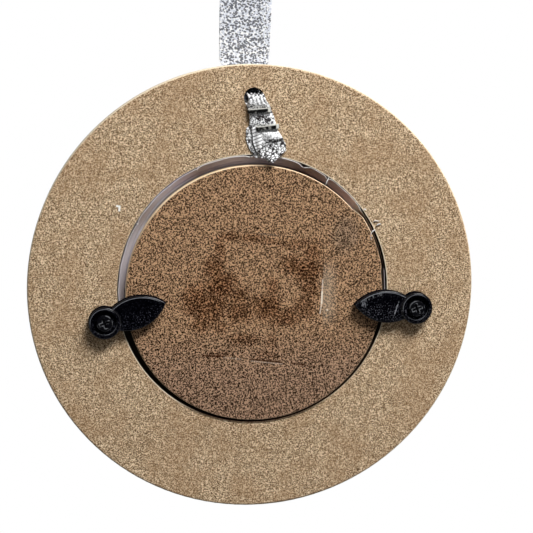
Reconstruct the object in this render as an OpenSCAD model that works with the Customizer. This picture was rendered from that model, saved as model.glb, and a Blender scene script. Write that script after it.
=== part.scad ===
// Round picture frame ornament, hung by a ribbon and seen from its back.
// Millimetres, +Z up, +Y towards the decorated front. The origin is the inside top of the ribbon's loop.

/* [Ring] */
// Outside diameter of the ring
ring_d = 101.6; // [98:0.2:130]
// Thickness of the ring's board
ring_t = 6.35; // [5.8:0.05:9]
// Width of the ring's back face, from its edge to the recess
border_w = 20; // [18:0.1:24]
// Width of the lip at the front that the film lies on
lip_w = 3.3; // [2.5:0.1:8]
// Rounding of the ring's two outer edges
edge_r = 0.5; // [0.2:0.05:1]
// Bevel round the window's front edge
window_bevel = 0.8; // [0.3:0.1:1.5]
// Diameter of the ribbon hole
hole_d = 4.6; // [4.4:0.1:6]
// Distance from the ring's edge to the ribbon hole's centre
hole_inset = 7.4; // [6:0.1:9]

/* [Window film] */
// Thickness of the clear film
film_t = 0.25; // [0.15:0.01:0.4]
// Gap between the film's rim and the recess wall
film_gap = 0.1; // [0.05:0.01:0.3]
// Radius of the bend where the rim turns up
film_bend_r = 1.6; // [1:0.1:1.8]
// Width of a slit between two flaps of the rim
slit_w = 0.35; // [0.1:0.05:1]

/* [Picture card] */
// Thickness of the blank card
card_t = 0.3; // [0.2:0.05:0.5]
// How much smaller the card is than the backing disc, all round
card_inset = 0.7; // [0.6:0.1:2]

/* [Backing disc] */
// Gap between the backing disc and the recess wall when the disc is centred
backing_gap = 1.45; // [1.3:0.05:2]
// Thickness of the backing disc
backing_t = 3.2; // [2.5:0.1:3.6]
// Gap that is left on the side to which the loose disc has slid
slid_gap = 0.4; // [0.3:0.05:1]
// Direction in which the loose disc has slid, in degrees
slid_to = -69; // [-180:1:180]
// Small bevel on the disc's back edge
backing_bevel = 0.15; // [0.05:0.05:0.4]
// Length of the part of the disc's rim that is cut too full
full_l = 16; // [8:0.2:24]
// Direction of that part round the disc, in degrees
full_at = 25.5; // [-180:0.5:180]
// Gap between that part and the bend of the film's rim
full_gap = 0.07; // [0.05:0.01:0.3]

/* [Turn buttons] */
// Diameter of a turn button's round head
head_d = 7.3; // [6.6:0.1:8.4]
// Height of the head
head_h = 2.6; // [2.4:0.1:3.4]
// Diameter of the dish that the screw head sits in
dish_d = 5.7; // [4.4:0.1:6]
// Depth of the dish
dish_h = 0.8; // [0.4:0.1:1]
// Length from the pivot to the blade's tip
blade_l = 14.4; // [12:0.1:17]
// Greatest width of the blade
blade_w = 7.5; // [5.6:0.1:8]
// Thickness of the blade
blade_t = 2; // [1.4:0.1:2.2]
// Rounding of the blade's and the head's upper edges
button_edge_r = 0.4; // [0.2:0.05:0.6]
// Gap between the blade and the boards under it
blade_lift = 0.3; // [0.2:0.05:0.6]
// Distance from the recess wall to the left pivot
left_pivot_out = 3.5; // [3:0.1:8]
// Direction of the left pivot round the ring, in degrees
left_pivot_at = 191; // [150:1:210]
// Direction in which the left blade points
left_blade_at = 17.6; // [0:0.1:40]
// Distance from the recess wall to the right pivot
right_pivot_out = 6.8; // [3:0.1:8]
// Direction of the right pivot round the ring
right_pivot_at = -6.7; // [-30:0.1:30]
// Direction in which the right blade points
right_blade_at = 176.2; // [150:0.1:200]

/* [Screws] */
// Diameter of a screw's shank
shank_d = 2.2; // [1.6:0.1:2.6]
// Diameter of a screw's head
screw_head_d = 3.7; // [3.4:0.1:4.2]
// Height of a screw's head
screw_head_h = 0.75; // [0.5:0.05:1]
// Length of a screw under its head
screw_l = 6; // [4:0.1:7]
// Length of the screw's point
screw_point = 1.4; // [0.8:0.1:2]
// Width of the cross slot
slot_w = 0.55; // [0.4:0.05:0.7]
// Running gap between a turn button and its screw, all round
pivot_gap = 0.06; // [0.03:0.01:0.1]

/* [Staples] */
// Width of a staple over its legs
crown_w = 5.2; // [4.6:0.1:6]
// Width of the flat wire
wire_w = 0.95; // [0.6:0.05:1.2]
// Thickness of the flat wire
wire_t = 0.5; // [0.4:0.05:0.7]
// Depth to which a leg goes into the ring
leg_depth = 4; // [2:0.1:5]
// Drop from the ribbon hole to the upper staple
upper_drop = 2.75; // [2.6:0.05:3.4]
// Drop from the ribbon hole to the lower staple
lower_drop = 6.5; // [5.5:0.05:8]

/* [Ribbon] */
// Width of the flat ribbon
ribbon_w = 11; // [8:0.1:13]
// Thickness of the ribbon
ribbon_t = 0.35; // [0.2:0.05:0.4]
// Height of the loop's inside top above the ribbon hole
loop_h = 61; // [45:1:80]
// Inside radius of the loop's top
loop_r = 4; // [3:0.5:6]
// Width of a strand where it is gathered in the hole
gather_w = 3.4; // [2.6:0.1:3.6]
// Thickness of a strand where it is gathered in the hole
gather_t = 0.95; // [0.7:0.05:1.1]
// Length of the stapled tail below the ribbon hole, to its shoulders
tail_l = 11.4; // [9:0.1:11.8]
// Thickness of the pleated tail
tail_t = 1.15; // [0.8:0.05:1.4]

/* [Hidden] */
$fn = 96;

board = "#b89c7c";
hardboard = "#7f6049";
black = "#17161a";
silver = "#c9ccd2";

ring_r = ring_d / 2;
recess_r = ring_r - border_w;
window_r = recess_r - lip_w;
recess_h = backing_t + card_t + film_t;
hole_z = ring_r - hole_inset;
hole_r = hole_d / 2;
cut = 1; // how far a cutter reaches past a face

// The film lies on the lip, the card on the film and the disc on the card, flush with the ring's back
card_y = backing_t;
film_y = backing_t + card_t;
backing_r = recess_r - backing_gap;
card_r = backing_r - card_inset;
slid = (backing_gap - slid_gap) * [cos(slid_to), 0, sin(slid_to)];
film_flat_r = recess_r - film_gap - film_bend_r;
rim_drop = 0.1; // how far the rim's cut edge lies below the ring's back

// The full part of the disc's rim reaches out to the bent film, round the ring's middle.
// A smaller disc, which would reach out twice as far, gives it its sloping ends.
bend_room = sqrt(pow(film_bend_r - film_t, 2) - pow(film_bend_r - film_t - card_t, 2));
full_reach = film_flat_r + bend_room - full_gap;
full_h = full_reach - backing_r - (backing_gap - slid_gap) * cos(slid_to - full_at);
full_top = backing_r - sqrt(pow(backing_r, 2) - pow(full_l / 2, 2)) + 2 * full_h;
full_r = (pow(full_l / 2, 2) + pow(full_top, 2)) / (2 * full_top);
full_middle = (backing_r + 2 * full_h - full_r) * [cos(full_at), 0, sin(full_at)];

// Direction where each flap of the film's rim starts and ends, how far it leans in and how far it is short
flaps = [[-3, 8.7, 0.25, 0.3], [8.7, 24.4, 0.25, 1.1], [24.4, 36.2, 0.2, 0.7], [36.2, 56.6, 0, 0],
    [56.6, 68.1, 0.1, 0], [68.1, 91.5, 0.15, 0], [91.5, 114.4, 0, 0], [114.4, 149.7, 0, 0], [149.7, 187, 0.05, 0]];

left_pivot = (recess_r + left_pivot_out) * [cos(left_pivot_at), 0, sin(left_pivot_at)];
right_pivot = (recess_r + right_pivot_out) * [cos(right_pivot_at), 0, sin(right_pivot_at)];
pivots = [left_pivot, right_pivot];
button_lift = 0.1; // running gap under a turn button's head
head_gap = 0.1; // running gap between the dish's floor and the screw head
dish_floor = button_lift + head_h - dish_h;
seat_h = dish_floor + head_gap; // height of the screw head's underside above the ring's back

strand_gap = 0.1; // gap between the ribbon's two strands
face_gap = 0.1; // gap between the ribbon and the board beside it
leg_y = ring_t + face_gap + ribbon_t + strand_gap / 2;
loop_z = hole_z + loop_h;

// The upper staple lies square on the ribbon, the lower one beside it: x, drop below the hole and tilt
staples = [[1.1, upper_drop, 4.9], [2.95, lower_drop, 7]];
press_t = 0.75; // thickness of the tail under a staple
pleat_h = 0.1; // height of the tail's pleats
crown_y = -(face_gap + press_t + pleat_h + 0.05);

// The tail's left and right edges, as [drop below the hole, x], and its ragged end, as [place across, length]
tail_left = [[0, -1.1], [3.7, -1.2], [7, -1.8], [8.8, -1.85], [11.4, -1]];
tail_right = [[0, 2.7], [3.7, 4.2], [7.3, 5.3], [10.1, 7], [11.6, 7.2]];
tail_end = [[-1, 0], [-0.63, 2], [-0.2, 1.8], [0.21, 3], [1, 0.2]];

module hung() translate([0, -leg_y, -loop_z]) children();

// Turns a shape drawn flat, with z as its height above the ring's back, to face the back
module on_back(at = [0, 0, 0]) translate(at) rotate([90, 0, 0]) children();

// A straight hole or pin along Y from y0 to y1
module across(r, y0, y1) translate([0, y1, 0]) rotate([90, 0, 0]) cylinder(r = r, h = y1 - y0);

// The corner between a square edge and its rounding, for a corner at the origin that points to +X +Y
module corner(r) translate([-r, -r]) difference() {
    square(r + cut);
    circle(r, $fn = 48);
}

module ring_profile() difference() {
    translate([window_r, 0]) square([ring_r - window_r, ring_t]);
    translate([0, -cut]) square([recess_r, recess_h + cut]);
    translate([ring_r, ring_t]) corner(edge_r);
    translate([ring_r, 0]) mirror([0, 1]) corner(edge_r);
    translate([window_r, ring_t]) rotate(45) square(window_bevel * sqrt(2), center = true);
}

module frame_ring() color(board) hung() difference() {
    rotate([-90, 0, 0]) rotate_extrude($fn = 180) ring_profile();
    translate([0, 0, hole_z]) across(hole_r, -cut, ring_t + cut, $fn = 48);
    for (p = pivots) on_back(p) screw_shank();
    for (s = staples) at_staple(s) staple_legs();
}

// Half of the section of the film's rim: flat on the lip, a quarter bend of radius r, then up the recess wall
bend_steps = 8;
function rim_line(r, lean, top) = concat([[film_flat_r - film_bend_r, film_bend_r - r]],
    [for (i = [0:bend_steps]) let(a = 90 * i / bend_steps)
        [film_flat_r + r * sin(a), film_bend_r - r * cos(a)]],
    [[film_flat_r + r - lean, top]]);

module flap(from, to, lean, short) {
    outer = rim_line(film_bend_r, lean, recess_h - rim_drop - short);
    inner = rim_line(film_bend_r - film_t, lean, recess_h - rim_drop - short);
    slit = asin(slit_w / 2 / recess_r);
    rotate(from + slit) rotate_extrude(angle = to - from - 2 * slit, $fn = 180)
        polygon(concat(outer, [for (i = [len(inner) - 1:-1:0]) inner[i]]));
}

module window_film() color("#a9a7ab") hung() {
    rotate([-90, 0, 0]) translate([0, 0, film_y]) cylinder(r = film_flat_r, h = film_t);
    on_back() translate([0, 0, -recess_h]) for (f = flaps) flap(f[0], f[1], f[2], f[3]);
}

module picture_card() color("white") hung() translate(slid) across(card_r, card_y, film_y);

module bevelled_disc(r) {
    rotate([-90, 0, 0]) cylinder(r1 = r - backing_bevel, r2 = r, h = backing_bevel);
    across(r, backing_bevel, backing_t);
}

module backing_disc() color(hardboard) hung() translate(slid) {
    bevelled_disc(backing_r);
    intersection() {
        translate(-slid) bevelled_disc(full_reach);
        translate(full_middle) across(full_r, 0, backing_t);
    }
}

// A disc whose upper edge is rounded
module rounded_disc(r, h, edge) rotate_extrude() difference() {
    square([r, h]);
    translate([r, h]) corner(edge);
}

// A pointed leaf: what two large discs have in common
module blade() {
    half_w = blade_w / 2;
    half_l = (blade_l + 0.7) / 2;
    r = (pow(half_l, 2) + pow(half_w, 2)) / (2 * half_w);
    translate([blade_l - half_l, 0, blade_lift]) intersection_for(side = [-1, 1])
        translate([0, side * (r - half_w), 0]) rounded_disc(r, blade_t, button_edge_r);
}

module turn_button() difference() {
    union() {
        translate([0, 0, button_lift]) rounded_disc(head_d / 2, head_h, button_edge_r);
        blade();
    }
    translate([0, 0, dish_floor]) cylinder(d = dish_d, h = dish_h + cut);
    translate([0, 0, -cut]) cylinder(d = shank_d + 2 * pivot_gap, h = head_h + 2 * cut, $fn = 48);
}

module left_turn_button() color(black) hung() on_back(left_pivot) rotate(left_blade_at) turn_button();

module right_turn_button() color(black) hung() on_back(right_pivot) rotate(right_blade_at) turn_button();

module screw_shank() translate([0, 0, seat_h - screw_l]) {
    cylinder(d1 = 0.3, d2 = shank_d, h = screw_point, $fn = 48);
    translate([0, 0, screw_point]) cylinder(d = shank_d, h = screw_l - screw_point, $fn = 48);
}

module screw() {
    screw_shank();
    translate([0, 0, seat_h]) difference() {
        rounded_disc(screw_head_d / 2, screw_head_h, screw_head_h / 2, $fn = 48);
        for (turn = [20, 110]) translate([0, 0, screw_head_h]) rotate(turn)
            cube([screw_head_d * 0.62, slot_w, screw_head_h * 1.3], center = true);
    }
}

module pivot_screws() color(black) hung() for (p = pivots) on_back(p) screw();

module at_staple(s) translate([s[0], 0, hole_z - s[1]]) rotate([0, -s[2], 0]) children();

// The two legs of a staple, which are also the slots that they cut
module staple_legs(grow = 0) for (side = [-1, 1])
    translate([side * (crown_w - wire_t) / 2, (leg_depth + crown_y) / 2, 0])
        cube([wire_t + 2 * grow, leg_depth - crown_y, wire_w + 2 * grow], center = true);

module staple() {
    translate([0, crown_y - wire_t / 2, 0]) cube([crown_w - 2 * wire_t, wire_t, wire_w], center = true);
    for (side = [0, 1]) mirror([side, 0, 0]) translate([crown_w / 2 - wire_t, crown_y, -wire_w / 2])
        rotate(-90) rotate_extrude(angle = 90, $fn = 48) square([wire_t, wire_w]);
    staple_legs();
}

module ribbon_staples() color("#8f9094") hung() for (s = staples) at_staple(s) staple();

// The ribbon is one skin over rows of [x, y, z, width, thickness, pleat depth, share of the ragged end].
// A row's section runs along X, and its pleats wave along the route's normal in YZ.
pleats = 2;
steps = 8; // parts across the ribbon
function ease(t) = t * t * (3 - 2 * t);
function normal(rows, i) = let(d = rows[min(i + 1, len(rows) - 1)] - rows[max(i - 1, 0)])
    [0, d[2], -d[1]] / norm([d[1], d[2]]);
function section(r, n) = [for (side = [1, -1], k = [0:steps]) let(s = side * (2 * k / steps - 1))
    [r[0] + s * r[3] / 2, r[1], r[2] - r[6] * lookup(s, tail_end)]
        + n * (side * r[4] / 2 + r[5] * cos(180 * pleats * s))];

// A closed skin over sections that all have the same number of points
module skin(sections) {
    size = len(sections[0]);
    last = len(sections) - 1;
    sides = [for (i = [0:last - 1], k = [0:size - 1]) let(next = (k + 1) % size)
        [i * size + k, i * size + next, (i + 1) * size + next, (i + 1) * size + k]];
    ends = [[for (k = [size - 1:-1:0]) k], [for (k = [0:size - 1]) last * size + k]];
    polyhedron(points = [for (s = sections) each s], faces = concat(sides, ends), convexity = 8);
}

// Side 1 of the ribbon is the strand next to the ring at the back, which is the outer one at the front
back_r = 1.2; // bend from the tail into the hole
hole_gap = 0.45; // gap between the ribbon and the ring where it comes out of the hole
front_r = 1.6; // bend from the hole up the front
gather_pleat = 0.04;
front_lean = -1.6; // x of the strands where they pass the ring's top edge
strand_shift = 0.45; // how far each strand lies beside the middle at the loop
fan_z = ring_r + 1.2; // height where the strands lie flat, just above the ring's top edge
part_z = loop_z - 5 * loop_r; // height where the loop starts to open

// The tail puffs up beside the staples, which press it flat: [drop, how far it is pressed, gap to the ring]
press_l = wire_w + 0.6; // length of ribbon that a staple presses
free_l = tail_l - lower_drop - press_l / 2; // length of ribbon below the lower staple
function pressed(drop) = [for (side = [-1, 1]) [drop + side * press_l / 2, 1, face_gap]];
tail_rows = concat([[back_r, 0, hole_gap]], pressed(upper_drop),
    [[(upper_drop + lower_drop) / 2, 0, face_gap]], pressed(lower_drop),
    [for (i = [2:-1:0]) [tail_l - free_l * i / 3, 0, face_gap]]);
function tail_at(press) = (tail_t - (tail_t - press_t) * press - strand_gap) / 2;
function tail_row(drop, t, gap, side) = let(left = lookup(drop, tail_left), right = lookup(drop, tail_right))
    [(left + right) / 2, -gap - t - strand_gap / 2 + side * (t + strand_gap) / 2, hole_z - drop, right - left,
        t, side * pleat_h, ease(max(0, 1 - (tail_l - drop) / free_l))];
function tail(side) = [for (i = [len(tail_rows) - 1:-1:0]) let(r = tail_rows[i])
    tail_row(r[0], tail_at(r[1]), r[2], side)];

// The middle of the two strands bends into the hole and up the front. Direction 0 is up, 90 is through it.
function bend(side, x, y, z, direction, t, pleat) = let(off = side * (t + strand_gap) / 2)
    [x, y + off * cos(direction), z - off * sin(direction), gather_w, t, side * pleat, 0];
back_t = tail_at(0);
back_y = -(hole_gap + back_t + strand_gap / 2);
front_y = ring_t + face_gap + gather_t + strand_gap / 2;
function bends(side) = concat(
    [for (a = [22.5:22.5:90]) bend(side, 0.8 - 0.7 * a / 90, back_y + back_r * (1 - cos(a)),
        hole_z - back_r * (1 - sin(a)), a, back_t + (gather_t - back_t) * a / 90, 0)],
    [for (a = [90:-22.5:0]) bend(side, 0, front_y - front_r * (1 - cos(a)), hole_z + front_r * (1 - sin(a)),
        a, gather_t, gather_pleat)]);

// Up the front the strands fan out flat, go straight up, and part into the loop
function strand_x(z, side) = let(up = (z - fan_z) / (loop_z - fan_z))
    front_lean * (1 - up) + side * strand_shift * min(1, 1 / 3 + 3 * up) * (1 - ease(up));
function fan(side) = [for (i = [1:5]) let(u = ease(i / 5), t = gather_t + (ribbon_t - gather_t) * u)
    [strand_x(fan_z, side) * u, front_y - gather_t + t + side * (t + strand_gap) / 2,
        hole_z + front_r + (fan_z - hole_z - front_r) * i / 5, gather_w + (ribbon_w - gather_w) * u, t,
        side * gather_pleat * (1 - u), 0]];
function leg(side) = [for (i = [1:8]) let(up = i / 8, z = fan_z + (loop_z - loop_r - fan_z) * up,
    open = ease(max(0, (z - part_z) / (loop_z - loop_r - part_z))))
    [strand_x(z, side), leg_y + side * ((strand_gap + ribbon_t) / 2 + (loop_r - strand_gap / 2) * open), z,
        ribbon_w, ribbon_t, 0, 0]];
function crown() = [for (a = [22.5:22.5:157.5]) let(r = loop_r + ribbon_t / 2)
    [strand_x(loop_z, 0), leg_y + r * cos(a), loop_z - loop_r + r * sin(a), ribbon_w, ribbon_t, 0, 0]];
function half(side) = concat(tail(side), bends(side), fan(side), leg(side));

module hanging_ribbon() color(silver) hung() difference() {
    over = half(-1);
    rows = concat(half(1), crown(), [for (i = [len(over) - 1:-1:0]) over[i]]);
    skin([for (i = [0:len(rows) - 1]) section(rows[i], normal(rows, i))]);
    for (s = staples) at_staple(s) staple_legs(0.05);
}

frame_ring();
window_film();
picture_card();
backing_disc();
left_turn_button();
right_turn_button();
pivot_screws();
ribbon_staples();
hanging_ribbon();
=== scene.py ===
# Picture frame ornament, hung by its glitter ribbon and seen from the back.
import math

import bpy
import numpy as np
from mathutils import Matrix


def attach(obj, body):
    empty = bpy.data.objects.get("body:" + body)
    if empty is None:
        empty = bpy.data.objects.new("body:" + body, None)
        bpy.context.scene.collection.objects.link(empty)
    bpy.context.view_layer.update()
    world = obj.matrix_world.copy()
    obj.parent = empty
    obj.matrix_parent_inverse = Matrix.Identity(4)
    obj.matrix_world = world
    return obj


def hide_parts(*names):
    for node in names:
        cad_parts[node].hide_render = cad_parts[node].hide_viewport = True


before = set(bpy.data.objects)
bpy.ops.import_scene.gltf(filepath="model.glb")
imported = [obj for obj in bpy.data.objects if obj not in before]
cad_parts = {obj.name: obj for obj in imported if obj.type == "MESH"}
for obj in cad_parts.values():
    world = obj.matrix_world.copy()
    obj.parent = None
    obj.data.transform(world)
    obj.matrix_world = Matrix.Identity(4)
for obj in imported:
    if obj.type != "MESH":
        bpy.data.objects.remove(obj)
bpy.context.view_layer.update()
print("loaded", sorted(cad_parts))

# The disc frame is in millimetres, with its origin at the middle of the ring's back face.
disc = {"y": -6.85, "z": -104.4, "ringRadius": 50.8, "ringThickness": 6.35, "recessRadius": 30.8,
        "holeHeight": 43.4, "holeRadius": 2.3}


def tone(red, green, blue):  # a paint-chart colour from 0 to 255, as linear light
    parts = [c / 255 for c in (red, green, blue)]
    return [c / 12.92 if c <= 0.04045 else ((c + 0.055) / 1.055) ** 2.4 for c in parts] + [1]


# Camera, lights and backdrop
view = {"place": (-0.032589, -0.306922, -0.051356), "turn": (81.0481, -0.2559, -6.7076), "lens": 91.18}
lamps = [
    {"name": "topSoftbox", "place": (0.28, -0.42, 0.56), "aim": (0, 0, -0.10), "size": (0.5, 0.2),
     "power": 10.3},
    {"name": "frontFill", "place": (0.3, -0.5, 0.15), "aim": (0, 0, -0.10), "size": (0.4, 0.4),
     "power": 0.12},
]
backdrop = {"worldLevel": 0.10, "floorHeight": -0.26, "floorReach": 2, "floorTone": 0.85, "bouncedTone": 0.15}


def addCamera():
    camera = bpy.data.objects.new("camera", bpy.data.cameras.new("camera"))
    camera.data.lens = view["lens"]
    camera.data.clip_start = 0.01
    camera.location = view["place"]
    camera.rotation_euler = [math.radians(a) for a in view["turn"]]
    bpy.context.collection.objects.link(camera)
    bpy.context.scene.camera = camera


def addLamps():
    for lamp in lamps:
        light = bpy.data.lights.new(lamp["name"], "AREA")
        light.shape, light.energy = "RECTANGLE", lamp["power"]
        light.size, light.size_y = lamp["size"]
        holder = bpy.data.objects.new(lamp["name"], light)
        holder.location = lamp["place"]
        aim = holder.location - type(holder.location)(lamp["aim"])
        holder.rotation_euler = aim.to_track_quat("Z", "Y").to_euler()
        bpy.context.collection.objects.link(holder)


addCamera()
addLamps()
bpy.context.scene.view_settings.view_transform = "Standard"


class Wire:  # a socket's value in a material, on which Python's operators add Math nodes
    def __init__(self, paint, socket):
        self.paint, self.socket = paint, socket

    def math(self, operation, *others):
        return self.paint.add("ShaderNodeMath", {"operation": operation}, [self, *others])

    def after(self, operation, first):
        return self.paint.add("ShaderNodeMath", {"operation": operation}, [first, self])

    def __add__(self, other):
        return self.math("ADD", other)

    def __radd__(self, other):
        return self.math("ADD", other)

    def __sub__(self, other):
        return self.math("SUBTRACT", other)

    def __rsub__(self, other):
        return self.after("SUBTRACT", other)

    def __mul__(self, other):
        return self.math("MULTIPLY", other)

    def __rmul__(self, other):
        return self.math("MULTIPLY", other)

    def __truediv__(self, other):
        return self.math("DIVIDE", other)

    def __pow__(self, other):
        return self.math("POWER", other)

    def __abs__(self):
        return self.math("ABSOLUTE")

    def high(self, other):
        return self.math("MAXIMUM", other)

    def low(self, other):
        return self.math("MINIMUM", other)

    def held(self):
        return self.math("MINIMUM", 1).math("MAXIMUM", 0)

    def rise(self, start, end):  # smoothly from 0 at start to 1 at end
        smooth = {"interpolation_type": "SMOOTHSTEP"}
        return self.paint.add("ShaderNodeMapRange", smooth, [self, start, end, 0, 1])


class Paint:  # a node material
    def __init__(self, name):
        self.material = bpy.data.materials.new(name)
        self.material.use_nodes = True
        self.tree = self.material.node_tree
        self.tree.nodes.clear()

    def add(self, kind, settings=None, sockets=None, out=0):
        node = self.tree.nodes.new(kind)
        for name, value in (settings or {}).items():
            if name == "stops":
                ramp = node.color_ramp
                while len(ramp.elements) < len(value):
                    ramp.elements.new(0.5)
                for element, (place, colour) in zip(ramp.elements, value):
                    element.position, element.color = place, colour
            else:
                setattr(node, name, value)
        pairs = sockets.items() if isinstance(sockets, dict) else enumerate(sockets or [])
        for name, value in pairs:
            if isinstance(value, Wire):
                self.tree.links.new(value.socket, node.inputs[name])
            else:
                node.inputs[name].default_value = value
        return Wire(self, node.outputs[out])

    def millimetres(self, turn=(0, 0, 0), stretch=(1, 1, 1)):  # the disc frame, turned and stretched
        metres = self.add("ShaderNodeTexCoord", out="Object")
        place = self.add("ShaderNodeMapping", None, {
            "Vector": metres, "Location": (0, -disc["y"], -disc["z"]), "Scale": (1000, 1000, 1000)})
        if turn == (0, 0, 0) and stretch == (1, 1, 1):
            return place
        return self.add("ShaderNodeMapping", None, {
            "Vector": place, "Rotation": [math.radians(a) for a in turn], "Scale": stretch})

    def split(self, vector):
        return [self.add("ShaderNodeSeparateXYZ", None, [vector], out=i) for i in range(3)]

    def noise(self, vector, scale, detail=2, roughness=0.5, distortion=0):
        return self.add("ShaderNodeTexNoise", None, {
            "Vector": vector, "Scale": scale, "Detail": detail, "Roughness": roughness,
            "Distortion": distortion})

    def cells(self, vector, scale, randomness=1.0, feature="F1"):
        return self.add("ShaderNodeTexVoronoi", {"feature": feature}, {
            "Vector": vector, "Scale": scale, "Randomness": randomness})

    def ramp(self, value, stops):
        return self.add("ShaderNodeValToRGB", {"stops": stops}, [value])

    def blend(self, share, low, high, how="MIX"):
        colours = {"data_type": "RGBA", "blend_type": how}
        return self.add("ShaderNodeMix", colours, {0: share, 6: low, 7: high}, out=2)

    def bump(self, height, distance, strength=1.0):
        sockets = {"Height": height, "Distance": distance, "Strength": strength}
        return self.add("ShaderNodeBump", None, sockets)

    def finish(self, **sockets):
        named = {name.replace("_", " "): value for name, value in sockets.items()}
        return self.connect(self.add("ShaderNodeBsdfPrincipled", None, named))

    def connect(self, shader):
        output = self.tree.nodes.new("ShaderNodeOutputMaterial")
        self.tree.links.new(shader.socket, output.inputs["Surface"])
        return self.material


def grey(level):
    return (level, level, level, 1)


def highest(values):  # at each point
    best = values[0]
    for value in values[1:]:
        best = best.high(value)
    return best


def distance(x, z, middle):  # of each point from a place on the back
    return ((x - middle[0]) ** 2 + (z - middle[1]) ** 2) ** 0.5


def lineGap(x, z, start, end):  # distance of each point from a straight line between two places on the back
    (ax, az), (bx, bz) = start, end
    dx, dz = bx - ax, bz - az
    px, pz = x - ax, z - az
    along = ((px * dx + pz * dz) / (dx * dx + dz * dz)).held()
    return ((px - along * dx) ** 2 + (pz - along * dz) ** 2) ** 0.5


def spotGap(x, z, middle, reach):  # 0 in the middle of an oval spot, 1 at its edge
    return (((x - middle[0]) / reach[0]) ** 2 + ((z - middle[1]) / reach[1]) ** 2) ** 0.5


def setBackground():  # white to the camera and in reflections, and dim as a light
    world = bpy.data.worlds.new("studio")
    bpy.context.scene.world = world
    world.use_nodes = True
    tree = world.node_tree
    tree.nodes.clear()
    kinds = ("ShaderNodeBackground", "ShaderNodeBackground", "ShaderNodeMixShader", "ShaderNodeLightPath",
             "ShaderNodeMath", "ShaderNodeMath", "ShaderNodeOutputWorld")
    seen, dim, mix, ray, first, second, out = [tree.nodes.new(kind) for kind in kinds]
    seen.inputs["Color"].default_value = grey(1)
    dim.inputs["Color"].default_value = grey(backdrop["worldLevel"])
    first.operation = second.operation = "MAXIMUM"
    for source, target in ((ray.outputs["Is Camera Ray"], first.inputs[0]),
                           (ray.outputs["Is Glossy Ray"], first.inputs[1]),
                           (first.outputs[0], second.inputs[0]),
                           (ray.outputs["Is Transmission Ray"], second.inputs[1]),
                           (second.outputs[0], mix.inputs[0]),
                           (dim.outputs[0], mix.inputs[1]),
                           (seen.outputs[0], mix.inputs[2]),
                           (mix.outputs[0], out.inputs["Surface"])):
        tree.links.new(source, target)


def addFloor():
    reach, height = backdrop["floorReach"], backdrop["floorHeight"]
    corners = [(x * reach, y * reach, height) for x, y in ((-1, -1), (1, -1), (1, 1), (-1, 1))]
    mesh = bpy.data.meshes.new("floor")
    mesh.from_pydata(corners, [], [(0, 1, 2, 3)])
    floor = bpy.data.objects.new("floor", mesh)
    bpy.context.collection.objects.link(floor)
    paint = Paint("floorWhite")
    camera, glossy, through, bounce = [paint.add("ShaderNodeLightPath", out="Is " + ray + " Ray")
                                       for ray in ("Camera", "Glossy", "Transmission", "Diffuse")]
    seen = camera.high(glossy).high(through)
    x, y, z = paint.split(paint.add("ShaderNodeTexCoord", out="Object"))
    far = ((x * x + y * y) ** 0.5).rise(0.12, 0.24)  # white further out than the object's own shadow
    # a ray on its way from the object finds a darker floor, which throws little light back
    level = backdrop["floorTone"] - (backdrop["floorTone"] - backdrop["bouncedTone"]) * bounce
    plain = paint.add("ShaderNodeBsdfDiffuse", None, {"Color": level})
    white = paint.add("ShaderNodeEmission", None, {"Color": grey(1), "Strength": 1})
    mixed = paint.add("ShaderNodeMixShader", None, {0: seen * (0.9 + 0.1 * far), 1: plain, 2: white})
    mesh.materials.append(paint.connect(mixed))


setBackground()
addFloor()
print("studio set")

# Fibreboard ring
ring = {"mid": tone(176, 146, 111), "dark": tone(58, 33, 15), "light": tone(244, 220, 186),
        "warm": tone(168, 132, 96), "speck": tone(74, 48, 28), "sawnAndLit": tone(236, 222, 196),
        # gap and hole are near-black painted shade for the recess and the ribbon hole
        "coat": tone(238, 238, 236), "gap": tone(26, 11, 8), "hole": tone(10, 6, 5),
        "crumb": tone(250, 248, 244), "coatDepth": 1.2, "lip": 3.5, "grain": 5.8, "fibre": 1.3,
        "fleck": [((-30.6, 19.5), (-30.0, 19.4)), ((-30.0, 19.4), (-30.1, 18.5))]}


def grainTones(paint, value, board, places):  # the board's dark, middle and light tones, by value
    return paint.ramp(value, list(zip(places, (board["dark"], board["mid"], board["mid"], board["light"]))))


def shortFibres(paint, colour, board, darkShare, lightShare):  # in three directions
    for number, turn in enumerate((20, 75, 140)):
        lengthwise = paint.millimetres((0, turn, 0), (0.8, 1, 2.6))
        strokes = paint.noise(lengthwise, board["fibre"] + 0.1 * number, 2, 0.5)
        colour = paint.blend(strokes.rise(0.64, 0.70) * darkShare, colour, board["dark"])
        colour = paint.blend(strokes.rise(0.36, 0.30) * lightShare, colour, board["light"])
    return colour


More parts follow.
